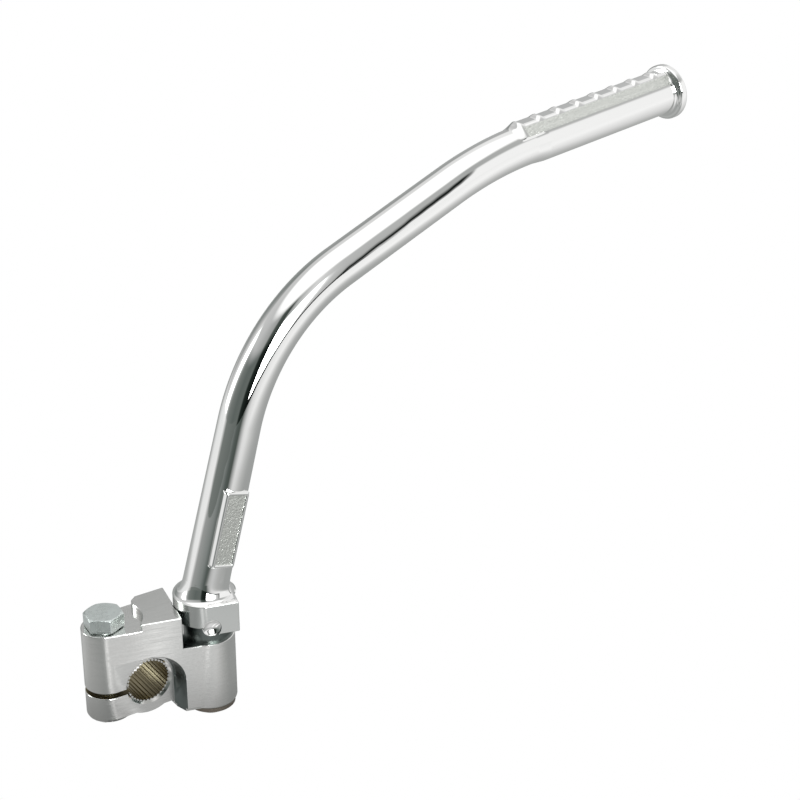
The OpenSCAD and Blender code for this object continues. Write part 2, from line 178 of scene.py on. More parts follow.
# %% [markdown]
# The splines were cut and left bare with a film of old oil, so they look warm and brown, while the
# outer parts of the fold mechanism carry plain zinc or a dark phosphate.

# %% Oiled splines, zinc and dark steel
oiled, _, _ = new_material("oiled_broached_steel", "#958C74", 1.0, 0.34)
bright_cut, _, _ = new_material("freshly_cut_steel", "#F0EFEC", 1.0, 0.12)
zinc, tree, shader = new_material("zinc_plate", "#DFE6E4", 1.0, 0.3)
place = add_node(tree, "ShaderNodeTexCoord")
cloud = add_node(tree, "ShaderNodeTexNoise", {"Vector": place.outputs["Object"]},
                 {"Scale": 1 / (1.5 * MM), "Detail": 3.0})
patch = add_node(tree, "ShaderNodeMapRange", {"Value": cloud.outputs["Fac"]},
                 {"From Min": 0.3, "From Max": 0.7, "To Min": 0.24, "To Max": 0.38})
tree.links.new(patch.outputs["Result"], shader.inputs["Roughness"])
phosphate, _, _ = new_material("dark_phosphated_steel", "#3C3A36", 1.0, 0.45)
oily_washer, _, _ = new_material("oily_steel_washer", "#938A80", 1.0, 0.38)
# A dark, slightly green steel stands in as painted shade: in the gap at the stop face, on the neck, in the
# recess's wall and in the detent pocket.
painted_shade_metal, _, _ = new_material("painted_shade_steel", "#6A716F", 1.0, 0.3)
print("made", oiled.name, bright_cut.name, zinc.name, phosphate.name, oily_washer.name,
      painted_shade_metal.name)


# %% [markdown]
# ## Surfaces from formulas
# Each new piece is a grid of points worked out as whole arrays. The grid's rows become rings of
# faces, and the ends are closed, so that every mesh is a closed shell.

# %% From grids to meshes
def ring_faces(rows, columns, closed_rows=False):
    """Quads between neighbouring rows of a grid whose columns run round in a ring."""
    steps = rows if closed_rows else rows - 1
    i, j = np.meshgrid(np.arange(steps), np.arange(columns), indexing="ij")
    next_i, next_j = (i + 1) % rows, (j + 1) % columns
    corners = [i * columns + j, i * columns + next_j, next_i * columns + next_j, next_i * columns + j]
    return np.stack(corners, -1).reshape(-1, 4)


def grid_shell(grid, closed_rows=False):
    """Points and faces of a tube-like grid (rows, columns, 3). Open ends get one cap each."""
    rows, columns, _ = grid.shape
    faces = ring_faces(rows, columns, closed_rows).tolist()
    if not closed_rows:
        faces.append(list(range(columns))[::-1])
        faces.append(list(range((rows - 1) * columns, rows * columns)))
    return grid.reshape(-1, 3), faces


def mesh_object(name, shells, materials):
    """One object of several shells. A shell is (points in mm, faces, material slot of each face)."""
    points, faces, slots = [], [], []
    for shell_points, shell_faces, shell_slots in shells:
        start = sum(len(p) for p in points)
        points.append(shell_points)
        faces += [[start + v for v in face] for face in shell_faces]
        slots += list(shell_slots)
    mesh = bpy.data.meshes.new(name)
    mesh.from_pydata((np.concatenate(points) * MM).tolist(), [], faces)
    mesh.polygons.foreach_set("material_index", np.array(slots, np.int32))
    mesh.polygons.foreach_set("use_smooth", np.ones(len(faces), bool))
    work = bmesh.new()
    work.from_mesh(mesh)
    bmesh.ops.recalc_face_normals(work, faces=work.faces)
    work.to_mesh(mesh)
    work.free()
    for material in materials:
        mesh.materials.append(material)
    piece = bpy.data.objects.new(name, mesh)
    bpy.context.collection.objects.link(piece)
    print("made", name, "with", len(mesh.polygons), "faces")
    return piece


def eased(t):
    """Rises smoothly from 0 to 1 while t goes from 0 to 1: t squared times (3 - 2t)."""
    t = np.clip(t, 0, 1)
    return t * t * (3 - 2 * t)


# %% [markdown]
# ## The line of the arm
# The arm was one straight forged bar, bent twice in one upright plane. Its slope is constant along
# each straight and falls evenly along each bend, so the line itself is the sum of many short steps in
# the direction of that slope. Adding up steps is how a bending machine makes it too.

# %% The plane and the line of the arm
pivot = np.array(frame["joints"][0]["pos_m"][:2]) / MM
BOLT_X, NOSE_R, BARREL_R = 12.3, 8.5, 9.7   # pinch bolt to bore axis, and the boss's two round ends, mm
to_pivot = pivot + [BOLT_X, 0]
FRONT_SKEW = np.degrees(np.arctan2(-to_pivot[1], to_pivot[0])
                        + np.arcsin((BARREL_R - NOSE_R) / np.hypot(*to_pivot)))
ARM_TURN = 20.4        # turn of the folded arm against the front face, degrees
ARM_LEAN = 16.5        # lean of the lower arm from upright, degrees
UPPER_SLOPE = 20.5     # slope of the upper arm over level, degrees
PEDAL_SLOPE = 5.5      # slope of the pedal over level, degrees
LOWER_LEN, UPPER_LEN, PEDAL_LEN = 97.5, 112.5, 98.0   # corner to corner along the line, mm
BEND_1_R, BEND_2_R = 75.0, 150.0                      # radius of each bend, mm
ARM_FOOT = 34.0        # height at which the line crosses the pivot, mm
COLLAR_TOP = 30.1      # height of the collar's top face, mm
FOOT_R, BAR_R, PEDAL_R = 8.5, 7.9, 8.4                # radius of the bar at its foot, middle and pedal

plane_turn = np.radians(ARM_TURN - FRONT_SKEW)
across = np.array([np.cos(plane_turn), np.sin(plane_turn), 0])   # level, in the arm's plane
rider = np.array([np.sin(plane_turn), -np.cos(plane_turn), 0])   # out of the arm's plane, to the rider
up = np.array([0, 0, 1.0])

turn_1 = np.radians(90 - ARM_LEAN - UPPER_SLOPE)
turn_2 = np.radians(UPPER_SLOPE - PEDAL_SLOPE)
cut_1, cut_2 = BEND_1_R * np.tan(turn_1 / 2), BEND_2_R * np.tan(turn_2 / 2)
START = -6.0           # the bar starts inside the collar, below the crossing
bend_1_at = LOWER_LEN - cut_1
bend_2_at = bend_1_at + BEND_1_R * turn_1 + UPPER_LEN - cut_1 - cut_2
pedal_at = bend_2_at + BEND_2_R * turn_2
arm_end = pedal_at + PEDAL_LEN - cut_2


def slope_at(s):
    """Slope of the line at s: the lower slope, less what each bend has turned by there."""
    bend_1 = turn_1 * np.clip((s - bend_1_at) / (BEND_1_R * turn_1), 0, 1)
    bend_2 = turn_2 * np.clip((s - bend_2_at) / (BEND_2_R * turn_2), 0, 1)
    return np.radians(90 - ARM_LEAN) - bend_1 - bend_2


fine = np.arange(START, arm_end + 0.05, 0.05)
middle_slope = slope_at((fine[1:] + fine[:-1]) / 2)
steps = np.diff(fine)[:, None] * np.stack([np.cos(middle_slope), np.sin(middle_slope)], 1)
lower = np.radians(90 - ARM_LEAN)
first = np.array([0, ARM_FOOT]) + START * np.array([np.cos(lower), np.sin(lower)])
fine_line = first + np.concatenate([np.zeros((1, 2)), np.cumsum(steps, 0)])
print("the arm's line is", round(float(arm_end), 1), "mm long from the pivot")


def line_at(s):
    """Points, directions and upper normals of the arm's line at distances s."""
    flat = np.stack([np.interp(s, fine, fine_line[:, 0]), np.interp(s, fine, fine_line[:, 1])], -1)
    slope = slope_at(s)[:, None]
    point = np.append(pivot, 0) + flat[:, :1] * across + flat[:, 1:] * up
    along = np.cos(slope) * across + np.sin(slope) * up
    over = -np.sin(slope) * across + np.cos(slope) * up
    return point, along, over


# %% [markdown]
# ## The bar and its pedal
# The bar is a profile carried along the line. It is a circle up to the pedal. There the top rises to
# a narrow tread with cross ribs, and a flat flank on each side runs down to the round underside. In
# polar form a flat face at distance d is d / cos(angle), the roof is the least of its three faces,
# and the profile is the larger of roof and circle. A soft minimum rounds the roof's two edges, and
# each flank ends where it would dip inside the round underside.

# %% The profile of the bar
TREAD_TOP = 9.2        # line to the tread, mm
FLANK = 8.33           # line to each flank, mm
FLANK_TURN = 45.8      # turn of a flank's normal from the tread's, degrees
RIB_PITCH, RIB_COUNT, RIB_H, RIB_HALF = 10.3, 8, 0.95, 1.9
FIRST_RIB = -4.0       # first rib before the pedal's start, mm
SOFT = 30.0            # power of the soft minimum
SWELL = 6.0            # length over which the bar swells to the pedal's radius, mm
ROOF_BACK, ROOF_RISE = 3.5, 4.0   # the roof starts this far before the first rib, and rises over this, mm
flank_end = np.radians(FLANK_TURN) + np.arccos(FLANK / PEDAL_R)


def bar_radius(s, angle):
    """Radius at distance s along the line and at an angle from the top of the section."""
    round_r = np.interp(s, [START, bend_1_at, pedal_at, pedal_at + SWELL], [FOOT_R, BAR_R, BAR_R, PEDAL_R])
    rib_s = pedal_at + FIRST_RIB + RIB_PITCH * np.arange(RIB_COUNT)
    rib = (np.clip(1 - ((s[:, None] - rib_s) / RIB_HALF) ** 2, 0, 1) ** 1.5).sum(1) * RIB_H
    roof = 0
    flank = np.full(len(s), FLANK)
    for distance, turn in [(TREAD_TOP + rib, 0), (flank, FLANK_TURN), (flank, -FLANK_TURN)]:
        lean = np.clip(np.cos(angle - np.radians(turn)), 0.05, 1)[None, :]
        roof = roof + (distance[:, None] / lean) ** -SOFT
    roof = roof ** (-1 / SOFT)
    circle = np.repeat(round_r[:, None], len(angle), 1)
    from_top = np.abs((angle + np.pi) % (2 * np.pi) - np.pi)
    raised = np.where(from_top < flank_end, np.maximum(roof - circle, 0), 0)
    blend = eased((s - (pedal_at + FIRST_RIB - ROOF_BACK)) / ROOF_RISE)[:, None]
    return circle + blend * raised


# %% The bar as a swept surface
ROUND = 128            # points round the bar
FINE_STEP = 0.35       # distance between rings along the pedal, mm
FLANK_FROM = 22        # a flank starts this far from the top of the section, degrees
angle = np.linspace(0, 2 * np.pi, ROUND, endpoint=False)
stations = np.unique(np.concatenate([
    np.linspace(START, bend_1_at, 40),
    np.linspace(bend_1_at, bend_2_at, 150),
    np.linspace(bend_2_at, pedal_at - 9, 40),
    np.arange(pedal_at - 9, arm_end - 1.5, FINE_STEP),
    [arm_end - 1.5],
]))
point, along, over = line_at(stations)
radius = bar_radius(stations, angle)
out = np.cos(angle)[None, :, None] * over[:, None] + np.sin(angle)[None, :, None] * rider
bar_grid = point[:, None] + radius[..., None] * out
bar_points, bar_faces = grid_shell(bar_grid)

face_s = np.repeat((stations[1:] + stations[:-1]) / 2, ROUND)
face_angle = np.degrees(np.tile(angle, len(stations) - 1))
from_top = np.abs((face_angle + 180) % 360 - 180)
on_flank = (face_s > pedal_at + FIRST_RIB + 1) & (from_top > FLANK_FROM)
on_flank &= from_top < np.degrees(flank_end) - 3
bar_slots = np.append(np.where(on_flank, 1, 0), [0, 0])
print("bar grid:", bar_grid.shape)

# %% [markdown]
# The flange at the pedal's end keeps the boot from slipping off. It was upset on the hot bar, so a
# small fillet leads up to it and all its edges are round. It is a profile turned about the pedal's axis.

# %% The end flange
FLANGE_R, FLANGE_T, FLANGE_EASE, FLANGE_FILLET = 11.0, 3.4, 0.9, 1.4


def quarter(centre_x, centre_r, radius, start_deg, end_deg, count=8):
    """Points of an arc in the (along, radius) plane."""
    t = np.radians(np.linspace(start_deg, end_deg, count))
    return np.stack([centre_x + radius * np.cos(t), centre_r + radius * np.sin(t)], 1)


def turned(profile, base, axis, side_a, side_b, count=96):
    """A profile of (along, radius) points turned about an axis. Its ends lie near the axis."""
    t = np.linspace(0, 2 * np.pi, count, endpoint=False)
    ring = np.cos(t)[None, :, None] * side_a + np.sin(t)[None, :, None] * side_b
    return base + profile[:, 0][:, None, None] * axis + profile[:, 1][:, None, None] * ring


inner = arm_end - FLANGE_T
flange_profile = np.concatenate([
    [[inner - FLANGE_FILLET - 0.4, 0.02], [inner - FLANGE_FILLET - 0.4, PEDAL_R - 0.6]],
    quarter(inner - FLANGE_FILLET, PEDAL_R + FLANGE_FILLET, FLANGE_FILLET, -90, 0),
    quarter(inner + FLANGE_EASE, FLANGE_R - FLANGE_EASE, FLANGE_EASE, 180, 90),
    quarter(arm_end - FLANGE_EASE, FLANGE_R - FLANGE_EASE, FLANGE_EASE, 90, 0),
    [[arm_end, 6.0], [arm_end, 0.02]],
])
end_point, end_along, end_over = line_at(np.array([arm_end]))
flange_grid = turned(flange_profile - [arm_end, 0], end_point[0], end_along[0], end_over[0], rider)
flange_points, flange_faces = grid_shell(flange_grid)
print("flange grid:", flange_grid.shape)

# %% [markdown]
# ## The flare over the collar
# The bar grows out of its collar with a polished concave flare. For each direction round the bar, a
# quadratic curve starts flat near the collar's rim and ends along the bar. Its middle point is where
# the bare bar would meet the collar's top, so the curve touches both surfaces. A last ring at each
# end is tucked just under the neighbouring surface, which hides the seam.

# %% The flare ring
FLARE_RISE = 6.5       # height that the flare climbs up the bar, mm
COLLAR_R, TAB_FRONT, TAB_SIDE = 12.4, 12.1, 9.0   # the collar, and the tab's two flats, from the pivot
RIM = 0.36             # the flare ends this far inside the collar's outline, mm
TUCK = 0.06            # depth of the tucked rings, mm
LIFT = 0.03            # the flare starts this far above the collar's top, so the two don't mix, mm

ring = np.linspace(0, 2 * np.pi, 144, endpoint=False)
bar_up = np.cos(lower) * across + np.sin(lower) * up
bar_side = -np.sin(lower) * across + np.cos(lower) * up


def foot_on_bar(height, inset=0.0):
    """Where the level plane at that height cuts the tapering bar, all round."""
    s = np.zeros(len(ring))
    for _ in range(5):
        r = FOOT_R + (BAR_R - FOOT_R) * (s - START) / (bend_1_at - START) - inset
        s = (height - ARM_FOOT - r * np.cos(ring) * bar_side[2]) / bar_up[2]
    out = np.cos(ring)[:, None] * bar_side + np.sin(ring)[:, None] * rider
    return np.append(pivot, ARM_FOOT) + s[:, None] * bar_up + r[:, None] * out


def collar_reach(directions, with_corner):
    """Distance from the pivot to the collar's outline: a circle cut by the front and side flats.

    The tab's square corner stands out over the circle, and with_corner says if it counts."""
    skew = np.radians(FRONT_SKEW)
    side = directions @ np.array([np.cos(skew), -np.sin(skew), 0])
    front = directions @ np.array([-np.sin(skew), -np.cos(skew), 0])
    to_side = np.where(side > 0.01, TAB_SIDE / np.maximum(side, 0.01), 99)
    to_front = np.where(front > 0.01, TAB_FRONT / np.maximum(front, 0.01), 99)
    at_corner = with_corner & (side > 0.01) & (front > 0.01)
    return np.minimum(np.where(at_corner, 99, COLLAR_R), np.minimum(to_side, to_front))


corner = foot_on_bar(COLLAR_TOP)
upper = foot_on_bar(COLLAR_TOP + FLARE_RISE)
from_pivot = corner - np.append(pivot, COLLAR_TOP)
heading = from_pivot / np.linalg.norm(from_pivot, axis=1)[:, None]
lifted = np.append(pivot, COLLAR_TOP + LIFT)
rim = lifted + (collar_reach(heading, True) - RIM)[:, None] * heading
edge = lifted + (collar_reach(heading, False) - RIM - 0.1)[:, None] * heading
t = np.linspace(0, 1, 18)[:, None, None]
curve = (1 - t) ** 2 * edge + 2 * t * (1 - t) * corner + t ** 2 * upper
above = foot_on_bar(COLLAR_TOP + FLARE_RISE + 2, inset=TUCK)
core = foot_on_bar(COLLAR_TOP + FLARE_RISE, inset=2.0)
under = edge - 1.0 * up - 2.0 * heading
outside = rim + 0.04 * heading - TUCK * up
flare_grid = np.concatenate([np.stack([outside, rim]), curve, np.stack([above, core, under])])
flare_points, flare_faces = grid_shell(flare_grid, closed_rows=True)
print("flare ring:", len(flare_points), "points")

# %% [markdown]
# ## The bare pad
# A small raised pad stands on the lower arm. It stays bare, with the plated forging skin inside a
# polished border. Its height depends only on the distance to its outline: a quarter round at the
# edge, level along the border, then a step down to the sunk field.

# %% The pad as a height field
PAD_LEN, PAD_W, PAD_FACE, PAD_SINK, PAD_BORDER = 29.0, 9.8, 9.0, 0.5, 1.0
PAD_SHIFT = -0.8       # its right side was ground back flush with the bar, mm
PAD_FROM = 8.5         # pad's lower end above the line's crossing of the pivot, mm
PAD_EDGE = 0.5         # radius of its rounded edge, mm
PAD_CORNER = 1.2       # radius of its corners, mm
PAD_STEP = 0.35        # width of the step down to its field, mm
PAD_DEPTH = 4.0        # the pad reaches this far into the bar, mm
u = np.linspace(-1, 1, 62)
v = np.linspace(-1, 1, 150)
x, y = np.meshgrid(u * PAD_W / 2, v * PAD_LEN / 2, indexing="ij")
inset_x, inset_y = PAD_W / 2 - np.abs(x), PAD_LEN / 2 - np.abs(y)
near = np.stack([np.maximum(PAD_CORNER - inset_x, 0), np.maximum(PAD_CORNER - inset_y, 0)])
inset = np.where((near > 0).all(0), PAD_CORNER - np.hypot(*near), np.minimum(inset_x, inset_y))
inset = np.maximum(inset, 0)
edge_drop = PAD_EDGE - np.sqrt(np.maximum(PAD_EDGE ** 2 - np.maximum(PAD_EDGE - inset, 0) ** 2, 0))
height = PAD_FACE - edge_drop - PAD_SINK * eased((inset - PAD_BORDER) / PAD_STEP)
pad_s = PAD_FROM + PAD_LEN / 2
pad_mid, pad_along, pad_over = (a[0] for a in line_at(np.array([pad_s])))
pad_side = -pad_over
pad_grid = pad_mid + y[..., None] * pad_along + height[..., None] * rider
pad_grid = pad_grid + (x + PAD_SHIFT)[..., None] * pad_side


def height_field_shell(grid, depth):
    """Closes a height field: the border is carried down along depth, and one face closes the bottom."""
    rows, columns, _ = grid.shape
    index = np.arange(rows * columns).reshape(rows, columns)
    quads = np.stack([index[:-1, :-1], index[1:, :-1], index[1:, 1:], index[:-1, 1:]], -1).reshape(-1, 4)
    rim = np.concatenate([index[0, :-1], index[:-1, -1], index[-1, :0:-1], index[:0:-1, 0]])
    top = grid.reshape(-1, 3)
    base = len(top) + np.arange(len(rim))
    walls = np.stack([rim, np.roll(rim, -1), np.roll(base, -1), base], -1)
    return np.concatenate([top, top[rim] + depth]), quads.tolist() + walls.tolist() + [base.tolist()]


pad_points, pad_faces = height_field_shell(pad_grid, -PAD_DEPTH * rider)
middle_inset = (inset[:-1, :-1] + inset[1:, 1:]) / 2
pad_slots = np.zeros(len(pad_faces), int)
pad_slots[:middle_inset.size] = np.where(middle_inset.reshape(-1) > PAD_BORDER + 0.2, 1, 0)
print("pad points:", len(pad_points))


# %% [markdown]
# ## The collar and its pin
# The collar has a square tab with a flat that stops on the boss, so its true shape matters. A copy
# of the CAD solid is cut off above the collar, its triangles are merged back into flat faces, and a
# narrow bevel on each sharp edge catches the light as a real tumbled edge does.

# %% Copies of CAD solids with softened edges
SHARP = np.radians(28)                                    # an edge with a larger turn is a sharp one
COLLAR_BEVEL, BOSS_BEVEL, BOLT_BEVEL = 0.3, 0.35, 0.22    # width of the softened edges, mm
COLLAR_LOW = 14.0                                         # below this the copy is the pin, mm


def softened_copy(node, name, bevel, keep=None, cut_over=None):
    """A merged copy of a CAD node. Outer sharp edges whose middle satisfies keep are bevelled."""
    work = bmesh.new()
    work.from_mesh(nodes[node].data)
    bmesh.ops.remove_doubles(work, verts=work.verts, dist=0.002 * MM)
    bmesh.ops.dissolve_degenerate(work, edges=work.edges, dist=0.005 * MM)
    if cut_over is not None:
        parts = work.verts[:] + work.edges[:] + work.faces[:]
        cut = bmesh.ops.bisect_plane(work, geom=parts, plane_co=(0, 0, cut_over * MM), plane_no=(0, 0, 1),
                                     clear_outer=True)
        rim = [e for e in cut["geom_cut"] if isinstance(e, bmesh.types.BMEdge)]
        bmesh.ops.holes_fill(work, edges=rim, sides=0)
    bmesh.ops.dissolve_limit(work, angle_limit=np.radians(0.4), verts=work.verts, edges=work.edges)
    weight = work.edges.layers.float.new("bevel_weight_edge")
    for edge in work.edges:
        sharp = len(edge.link_faces) == 2 and edge.calc_face_angle(0) > SHARP
        middle = np.array((edge.verts[0].co + edge.verts[1].co) / 2) / MM
        outer = sharp and edge.calc_face_angle_signed(0) > 0
        soften = outer and (keep is None or keep(middle))
        edge[weight] = 1.0 if soften else 0.0
        edge.smooth = not (sharp and not soften)
    for face in work.faces:
        face.smooth = True
        face.material_index = 0
    mesh = bpy.data.meshes.new(name)
    work.to_mesh(mesh)
    work.free()
    piece = bpy.data.objects.new(name, mesh)
    bpy.context.collection.objects.link(piece)
    if bevel:
        round_off = piece.modifiers.new("rounded edges", "BEVEL")
        round_off.limit_method = "WEIGHT"
        round_off.width = bevel * MM
        round_off.segments = 3
        round_off.harden_normals = True
        round_off.use_clamp_overlap = False
        round_off.loop_slide = False
    flat = piece.modifiers.new("flat faces stay flat", "WEIGHTED_NORMAL")
    flat.keep_sharp = True
    print("made", name, "with", len(mesh.polygons), "faces")
    return piece


def face_arrays(piece):
    """Centres in mm and normals of a piece's faces."""
    faces = piece.data.polygons
    return np.array([f.center for f in faces]) / MM, np.array([f.normal for f in faces])


skew = np.radians(FRONT_SKEW)
front_way = np.array([-np.sin(skew), -np.cos(skew)])
side_way = np.array([np.cos(skew), -np.sin(skew)])
POCKET_Z, POCKET_OFF, POCKET_R = 20.9, 1.2, 3.3   # the detent pocket in the tab's flat, mm


def in_pocket(place):
    """Which places (rows of x, y, z) are in the detent pocket, behind the tab's flat."""
    beside = (place[:, :2] - pivot) @ side_way + POCKET_OFF
    depth = (place[:, :2] - pivot) @ front_way
    near_axis = np.hypot(beside, place[:, 2] - POCKET_Z) < POCKET_R + 0.1
    return near_axis & (depth > 8) & (depth < TAB_FRONT - 0.05)


collar = softened_copy("arm", "arm_collar", COLLAR_BEVEL, cut_over=COLLAR_TOP + 0.002,
                       keep=lambda middle: not in_pocket(middle[None])[0])
for material in (chrome, satin_chrome, painted_shade_metal):
    collar.data.materials.append(material)
centres, facing = face_arrays(collar)
on_side = (np.abs(facing[:, 2]) < 0.5) & (centres[:, 2] > COLLAR_LOW)
pocket = in_pocket(centres)
# The detent pocket's faces get the dark steel as painted shade inside the hole.
slots = np.where(pocket, 2, np.where(on_side, 1, 0))
print("pocket faces:", int(pocket.sum()))
collar.data.polygons.foreach_set("material_index", slots.astype(np.int32))
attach(collar, "lever")

# %% [markdown]
# The pocket that catches the detent ball ends in a polished cup, a little wider than the ball. The
# cup is a part of a sphere, turned about the pocket's axis.

# %% The cup of the detent pocket
CUP_R, CUP_DEEP, CUP_FROM, CUP_BACK = 3.36, 1.3, 0.8, 2.28   # mm, the last two from the tab's flat
sphere_r = (CUP_R ** 2 + CUP_DEEP ** 2) / (2 * CUP_DEEP)
cup_r = np.linspace(CUP_R, 0.02, 16)
cup_deep = CUP_FROM + np.sqrt(sphere_r ** 2 - cup_r ** 2) - (sphere_r - CUP_DEEP)
cup_profile = np.concatenate([[[CUP_BACK, 0.02], [CUP_BACK, CUP_R]], np.stack([cup_deep, cup_r], 1)])
mouth_at = np.append(pivot + TAB_FRONT * front_way - POCKET_OFF * side_way, POCKET_Z)
cup_grid = turned(cup_profile, mouth_at, -np.append(front_way, 0), np.append(side_way, 0), up, count=48)
cup_points, cup_faces = grid_shell(cup_grid)
print("cup of the pocket:", len(cup_points), "points")

# %% The arm
arm_bar = mesh_object("arm_bar", [
    (bar_points, bar_faces, bar_slots),
    (flange_points, flange_faces, np.zeros(len(flange_faces), int)),
    (flare_points, flare_faces, np.zeros(len(flare_faces), int)),
    (pad_points, pad_faces, pad_slots),
    (cup_points, cup_faces, np.zeros(len(cup_faces), int)),
], [chrome, skin])
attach(arm_bar, "lever")
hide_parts("arm")

# %% [markdown]
# ## The boss
# The boss is one steel forging, milled and then belted. The copy of its solid gets rounded edges
# everywhere but at the spline teeth, which a broach cuts sharp. The bore keeps its oily brown skin, and
# the slit gets the same oily brown, which in its narrow gap is also painted shade. The stop face beside
# the collar, the neck and the recess's wall get a dark steel as painted shade. The chamfer at the bore's
# mouth was cut last, so it is bright.

# %% The boss
BORE_REACH = 9.6       # everything nearer to the bore's axis than this belongs to the bore, mm
BORE_WALL, MOUTH_R = 8.6, 9.3   # the splines' faces lie inside the first, the mouth's inside the second


def can_be_rounded(middle):
    """False on the splines and their chamfer."""
    return np.hypot(middle[0], middle[2]) > BORE_REACH


boss = softened_copy("boss", "boss_forging", BOSS_BEVEL, keep=can_be_rounded)
for material in (satin, oiled, bright_cut, painted_shade_metal):
    boss.data.materials.append(material)
centres, facing = face_arrays(boss)
bore_r = np.hypot(centres[:, 0], centres[:, 2])
in_bore = (bore_r < BORE_WALL) & (np.abs(facing[:, 1]) < 0.3)
on_chamfer = (bore_r < MOUTH_R) & (np.abs(facing[:, 1]) >= 0.3) & (np.abs(facing[:, 1]) < 0.95)
LEDGE_Z, NECK_R = 13.2, 9.0
STOP_FROM, STOP_TO = -14.0, -11.0   # where the stop face lies beside the pivot, mm
to_fold = (centres[:, :2] - pivot) @ side_way
round_fold = np.hypot(*(centres[:, :2] - pivot).T)
on_stop = (centres[:, 2] > LEDGE_Z) & (to_fold > STOP_FROM) & (to_fold < STOP_TO)
on_stop &= facing[:, :2] @ side_way > 0.9
on_neck = (centres[:, 2] > LEDGE_Z + 0.1) & (round_fold < NECK_R + 0.2)
RECESS_X, RECESS_R, BOSS_FRONT = -1.1, (10.5, 14.0), -8.5
SLIT_Z, SLIT_HALF, SLIT_END = -1.4, 1.0, -6.0   # the clamp slit, left of the bore, mm
from_recess = centres[:, [0, 2]] - [RECESS_X, 0]
wall_r = np.hypot(*from_recess.T)
faces_in = (from_recess * facing[:, [0, 2]]).sum(1) / wall_r < -0.5
on_recess = faces_in & (wall_r > RECESS_R[0]) & (wall_r < RECESS_R[1]) & (centres[:, 1] < BOSS_FRONT)
in_slit = (centres[:, 0] < SLIT_END) & (np.abs(centres[:, 2] - SLIT_Z) < SLIT_HALF + 0.3)
in_slit &= np.abs(facing[:, 2]) > 0.9
# The bore's oily brown is its own; in the slit it is also painted shade. The stop, neck and recess faces
# get the dark steel as painted shade.
oil_and_slit_shade, painted_shade_faces = in_bore | in_slit, on_stop | on_neck | on_recess
slots = np.where(oil_and_slit_shade, 1, np.where(on_chamfer, 2, np.where(painted_shade_faces, 3, 0)))
boss.data.polygons.foreach_set("material_index", slots.astype(np.int32))
print("stop, neck, recess and slit faces:", int(on_stop.sum()), int(on_neck.sum()), int(on_recess.sum()),
      int(in_slit.sum()))
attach(boss, "boss")
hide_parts("boss")

# %% [markdown]
# The barrel stands a little proud of the front face, as on the real forging. Its front is an arc with
# a slightly larger radius, which runs out tangent at the barrel's right side and dips into the face
# on the left. Each level of the grid is one closed loop: the arc, and an inner arc back.

# %% The proud front of the barrel
PROUD = 0.8            # mm in front of the face
SKIRT_LOW = -13.8      # height of the skirt's lower edge, mm
INSIDE_R = 7.0         # the inner arc, hidden in the barrel's wall, mm
arc = np.radians(np.linspace(-32, 90, 62))   # from the dip on the left to the right side
way = np.cos(arc)[:, None] * front_way + np.sin(arc)[:, None] * side_way
levels = []
for height_z, inset_r in [(SKIRT_LOW, 0.3), (SKIRT_LOW + 0.09, 0.09), (SKIRT_LOW + 0.3, 0),
                          (LEDGE_Z - 0.28, 0), (LEDGE_Z - 0.07, 0.09), (LEDGE_Z + 0.02, 0.3)]:
    front_arc = pivot - PROUD * side_way + (BARREL_R + PROUD - inset_r) * way
    loop = np.concatenate([front_arc, pivot + INSIDE_R * way[::-2]])
    levels.append(np.column_stack([loop, np.full(len(loop), height_z)]))
front_points, front_faces = grid_shell(np.stack(levels))
barrel_front = mesh_object("barrel_front", [(front_points, front_faces, np.zeros(len(front_faces), int))],
                           [satin])
flat = barrel_front.modifiers.new("flat faces stay flat", "WEIGHTED_NORMAL")
flat.keep_sharp = True
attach(barrel_front, "boss")

# %% [markdown]
# The pinch bolt is a plain hexagon bolt with zinc plate, and the rest of the fold mechanism stays as
# the CAD has it, with the finish that each part usually has.

# %% Bolt and small parts
bolt = softened_copy("pinch_bolt", "pinch_bolt_zinc", BOLT_BEVEL)
bolt.data.materials.append(zinc)
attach(bolt, "boss")
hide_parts("pinch_bolt")

for node, material in {"thrust_washer": phosphate, "retaining_washer": oily_washer, "circlip": phosphate,
                       "detent_ball": bright_cut, "detent_spring": phosphate}.items():
    nodes[node].data.materials.clear()
    nodes[node].data.materials.append(material)
print("finished the small parts")

# %% [markdown]
# ## The studio
# The photograph was taken in a white tent that is open towards the camera. Chrome shows all of it:
# a lamp on each side, the white roof, the paler table, and the dark room behind the camera. The
# world is the tent's walls and roof. One ramp goes round the walls and holds their grey levels, and
# a second one says where the lamps are, which are many times as bright as white paper. Two more
# ramps hold the dark rail that the right lamp stands on, and the upper walls. The four blend with
# the height over the horizon, and the roof closes the tent.

# %% The light tent
world = bpy.data.worlds.new("light tent")
bpy.context.scene.world = world
world.use_nodes = True
tree = world.node_tree
tree.nodes.clear()


def grey(level):
    """A grey of that sRGB level, as linear light. Dark greys have a little green, from the room's walls."""
    tint = 0.15 * level * max(1 - level, 0) ** 3
    steps = [int(round(255 * c)) for c in (level - tint, level + tint, level)]
    return linear("#{:02X}{:02X}{:02X}".format(*np.clip(steps, 0, 255)))


def round_ramp(stops, factor):
    """A ramp round the part. A stop is (degrees from the part's front, to the right, and level)."""
    node = add_node(tree, "ShaderNodeValToRGB", {"Fac": factor})
    elements = node.color_ramp.elements
    while len(elements) < len(stops):
        elements.new(0.5)
    for element, (degrees, level) in zip(elements, stops):
        element.position = (degrees + 180) / 360
        element.color = grey(level)
    return node.outputs["Color"]


def share_round(x, y):
    """The direction of (x, y) as a share of the full turn, from the back over the left."""
    front = add_node(tree, "ShaderNodeMath", {0: y}, {1: -1.0}, operation="MULTIPLY")
    around = add_node(tree, "ShaderNodeMath", {0: x, 1: front.outputs["Value"]}, operation="ARCTAN2")
    return add_node(tree, "ShaderNodeMapRange", {"Value": around.outputs["Value"]},
                    {"From Min": -np.pi, "From Max": np.pi}).outputs["Result"]


